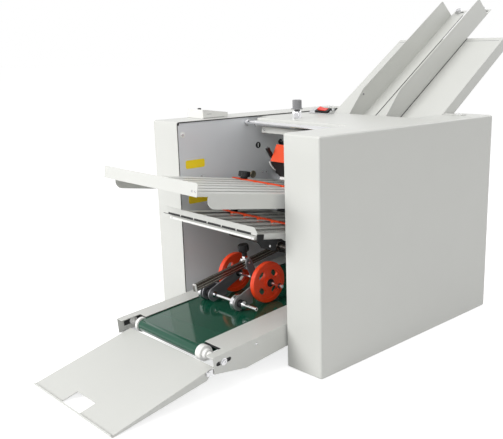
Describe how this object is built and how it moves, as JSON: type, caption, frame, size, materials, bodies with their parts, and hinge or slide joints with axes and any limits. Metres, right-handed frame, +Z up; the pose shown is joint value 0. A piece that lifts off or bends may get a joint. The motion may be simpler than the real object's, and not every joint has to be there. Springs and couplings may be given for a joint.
{
  "type": "paper folding machine",
  "caption": "Counter-top paper folding machine: side covers, sloped feed tray with side guides, folding plates and rollers, belt conveyor with press wheels and a drop-down tray.",
  "frame": {"origin": "centre of the bounding box at the floor", "axes": "+Z up, +Y from the delivery tray to the feed tray, +X to the right seen from the delivery side"},
  "size_m": [0.563, 1.3768, 0.7997],
  "materials": {
    "white_paint": "semi-gloss off-white paint",
    "grey_paint": "satin grey paint",
    "bright_steel": "brushed",
    "chrome": "polished",
    "dark_steel": "blackened",
    "orange_paint": "satin orange paint",
    "orange_plastic": "moulded",
    "black_plastic": "moulded",
    "grey_plastic": "ribbed",
    "red_plastic": "gloss",
    "white_plastic": "moulded",
    "green_belt": "smooth coated",
    "black_rubber": "ground"
  },
  "bodies": {
    "frame": {"right_side_cover": "white_paint", "left_side_cover": "white_paint", "right_side_plate": "grey_paint", "left_side_plate": "grey_paint", "base_plate": "white_paint", "top_cover": "white_paint", "grip_rod": "chrome", "cross_plate": "white_paint", "switch_console": "bright_steel", "switch_bezel": "black_plastic", "counter_box": "white_plastic", "feed_tray": "white_paint", "infeed_chute": "white_paint", "upper_front_fold_plate": "white_paint", "lower_front_fold_plate": "white_paint", "upper_rear_fold_plate": "white_paint", "lower_rear_fold_plate": "white_paint", "lower_plate_catch": "black_plastic", "feed_guard": "orange_paint", "feeder_body": "black_plastic", "left_conveyor_rail": "white_paint", "right_conveyor_rail": "white_paint", "conveyor_bed": "bright_steel", "conveyor_belt": "green_belt", "guide_bar": "dark_steel", "bar_support_rod": "bright_steel", "motor": "grey_paint", "drive_belt": "black_rubber", "power_inlet": "black_plastic"},
    "speed_knob": {"speed_knob": "grey_plastic"},
    "power_rocker": {"power_rocker": "red_plastic"},
    "counter_reset_button": {"counter_reset_button": "black_plastic"},
    "left_guide": {"left_paper_guide": "white_paint"},
    "right_guide": {"right_paper_guide": "white_paint"},
    "left_guide_knob": {"left_guide_knob": "bright_steel"},
    "right_guide_knob": {"right_guide_knob": "bright_steel"},
    "feed_roller": {"feed_roller": "black_rubber"},
    "upper_stop": {"upper_stop_bar": "orange_paint"},
    "upper_stop_knob": {"upper_stop_knob": "black_plastic"},
    "lower_stop": {"lower_stop_bar": "orange_paint"},
    "lower_stop_knob": {"lower_stop_knob": "black_plastic"},
    "conveyor_front_roller": {"conveyor_front_roller": "white_plastic"},
    "conveyor_drive_roller": {"conveyor_drive_roller": "bright_steel"},
    "clamp": {"bar_clamp": "bright_steel"},
    "clamp_knob": {"clamp_knob": "black_plastic"},
    "hanger": {"hanger_plate": "dark_steel", "wheel_axle": "chrome"},
    "right_press_wheel": {"right_press_wheel": "orange_plastic"},
    "left_press_wheel": {"left_press_wheel": "orange_plastic"},
    "press_links": {"right_link_arm": "dark_steel", "left_link_arm": "dark_steel"},
    "press_shaft": {"press_shaft": "chrome"},
    "paper_tray": {"paper_tray": "white_paint"},
    "motor_pulley": {"motor_pulley": "bright_steel"},
    "fold_roller_1": {"fold_roller_1": "black_rubber"},
    "fold_roller_2": {"fold_roller_2": "black_rubber"},
    "fold_roller_3": {"fold_roller_3": "black_rubber"},
    "fold_roller_4": {"fold_roller_4": "black_rubber"},
    "fold_roller_5": {"fold_roller_5": "black_rubber"},
    "fold_roller_6": {"fold_roller_6": "black_rubber"}
  },
  "joints": [
    {"name": "left_guide_slide", "type": "slide", "parent": "frame", "child": "left_guide", "axis": [1, 0, 0], "range_m": [-0.09, 0.01]},
    {"name": "right_guide_slide", "type": "slide", "parent": "frame", "child": "right_guide", "axis": [1, 0, 0], "range_m": [-0.01, 0.09]},
    {"name": "left_guide_knob_turn", "type": "hinge", "parent": "left_guide", "child": "left_guide_knob", "pos_m": [-0.0435, 0.68026, 0.76749], "axis": [0, -0.5563, 0.831], "range_deg": [0, 360]},
    {"name": "right_guide_knob_turn", "type": "hinge", "parent": "right_guide", "child": "right_guide_knob", "pos_m": [0.0405, 0.68026, 0.76749], "axis": [0, -0.5563, 0.831], "range_deg": [0, 360]},
    {"name": "fold_roller_1_spin", "type": "hinge", "parent": "frame", "child": "fold_roller_1", "pos_m": [0, 0.04871, 0.34704], "axis": [1, 0, 0], "continuous": true},
    {"name": "fold_roller_2_spin", "type": "hinge", "parent": "frame", "child": "fold_roller_2", "pos_m": [0, 0.04251, 0.30601], "axis": [1, 0, 0], "continuous": true},
    {"name": "fold_roller_3_spin", "type": "hinge", "parent": "frame", "child": "fold_roller_3", "pos_m": [0, 0.02569, 0.26807], "axis": [1, 0, 0], "continuous": true},
    {"name": "fold_roller_4_spin", "type": "hinge", "parent": "frame", "child": "fold_roller_4", "pos_m": [0, 0.01942, 0.22705], "axis": [1, 0, 0], "continuous": true},
    {"name": "fold_roller_5_spin", "type": "hinge", "parent": "frame", "child": "fold_roller_5", "pos_m": [0, 0.00267, 0.18908], "axis": [1, 0, 0], "continuous": true},
    {"name": "fold_roller_6_spin", "type": "hinge", "parent": "frame", "child": "fold_roller_6", "pos_m": [0, 0.02336, 0.1531], "axis": [1, 0, 0], "continuous": true},
    {"name": "feed_roller_spin", "type": "hinge", "parent": "frame", "child": "feed_roller", "pos_m": [0, 0.16516, 0.45424], "axis": [1, 0, 0], "continuous": true},
    {"name": "motor_pulley_spin", "type": "hinge", "parent": "frame", "child": "motor_pulley", "pos_m": [0, 0.14966, 0.064], "axis": [1, 0, 0], "continuous": true},
    {"name": "conveyor_drive_roller_spin", "type": "hinge", "parent": "frame", "child": "conveyor_drive_roller", "pos_m": [0, 0.06569, 0.10372], "axis": [1, 0, 0], "continuous": true},
    {"name": "conveyor_front_roller_spin", "type": "hinge", "parent": "frame", "child": "conveyor_front_roller", "pos_m": [0, -0.43819, 0.06583], "axis": [1, 0, 0], "continuous": true},
    {"name": "upper_stop_slide", "type": "slide", "parent": "frame", "child": "upper_stop", "axis": [0, -0.9888, 0.1495], "range_m": [-0.02, 0.3]},
    {"name": "upper_stop_knob_turn", "type": "hinge", "parent": "upper_stop", "child": "upper_stop_knob", "pos_m": [-0.121, -0.12334, 0.35204], "axis": [0, 0.1495, 0.9888], "range_deg": [0, 360]},
    {"name": "lower_stop_slide", "type": "slide", "parent": "frame", "child": "lower_stop", "axis": [0, -0.9888, 0.1495], "range_m": [-0.02, 0.145]},
    {"name": "lower_stop_knob_turn", "type": "hinge", "parent": "lower_stop", "child": "lower_stop_knob", "pos_m": [-0.121, -0.15834, 0.27554], "axis": [0, 0.1495, 0.9888], "range_deg": [0, 360]},
    {"name": "clamp_slide", "type": "slide", "parent": "frame", "child": "clamp", "axis": [0, 0.986, 0.1668], "range_m": [0, 0.04]},
    {"name": "clamp_knob_turn", "type": "hinge", "parent": "clamp", "child": "clamp_knob", "pos_m": [-0.005, -0.22234, 0.187], "axis": [0, -0.1668, 0.986], "range_deg": [0, 360]},
    {"name": "hanger_swing", "type": "hinge", "parent": "clamp", "child": "hanger", "pos_m": [-0.005, -0.22234, 0.187], "axis": [1, 0, 0], "range_deg": [0, 15]},
    {"name": "link_swing", "type": "hinge", "parent": "hanger", "child": "press_links", "pos_m": [0, -0.20533, 0.14582], "axis": [1, 0, 0], "range_deg": [-20, 0]},
    {"name": "right_press_wheel_spin", "type": "hinge", "parent": "hanger", "child": "right_press_wheel", "pos_m": [0, -0.20533, 0.14582], "axis": [1, 0, 0], "continuous": true},
    {"name": "left_press_wheel_spin", "type": "hinge", "parent": "hanger", "child": "left_press_wheel", "pos_m": [0, -0.20533, 0.14582], "axis": [1, 0, 0], "continuous": true},
    {"name": "press_shaft_spin", "type": "hinge", "parent": "press_links", "child": "press_shaft", "pos_m": [0, -0.28034, 0.11109], "axis": [1, 0, 0], "continuous": true},
    {"name": "paper_tray_fold", "type": "hinge", "parent": "frame", "child": "paper_tray", "pos_m": [0, -0.47434, 0.0505], "axis": [-1, 0, 0], "range_deg": [0, 95]},
    {"name": "speed_knob_turn", "type": "hinge", "parent": "frame", "child": "speed_knob", "pos_m": [-0.062, 0.00566, 0.49704], "axis": [0, 0, 1], "range_deg": [0, 270]},
    {"name": "power_rocker_tilt", "type": "hinge", "parent": "frame", "child": "power_rocker", "pos_m": [-0.106, 0.14408, 0.50849], "axis": [0, 0.9272, 0.3745], "range_deg": [-18, 0]},
    {"name": "counter_reset_press", "type": "slide", "parent": "frame", "child": "counter_reset_button", "axis": [0, 0, -1], "range_m": [0, 0.002], "stiffness_N_per_m": 150}
  ],
  "couplings": [
    {"joint": "fold_roller_2_spin", "follows": "fold_roller_1_spin", "ratio": -1},
    {"joint": "fold_roller_3_spin", "follows": "fold_roller_1_spin", "ratio": 1},
    {"joint": "fold_roller_4_spin", "follows": "fold_roller_1_spin", "ratio": -1},
    {"joint": "fold_roller_5_spin", "follows": "fold_roller_1_spin", "ratio": 1},
    {"joint": "fold_roller_6_spin", "follows": "fold_roller_1_spin", "ratio": -1},
    {"joint": "feed_roller_spin", "follows": "fold_roller_1_spin", "ratio": 0.75},
    {"joint": "motor_pulley_spin", "follows": "fold_roller_1_spin", "ratio": -1.4444},
    {"joint": "conveyor_drive_roller_spin", "follows": "fold_roller_1_spin", "ratio": -0.5},
    {"joint": "conveyor_front_roller_spin", "follows": "fold_roller_1_spin", "ratio": -0.5},
    {"joint": "link_swing", "follows": "hanger_swing", "ratio": -1.25}
  ]
}
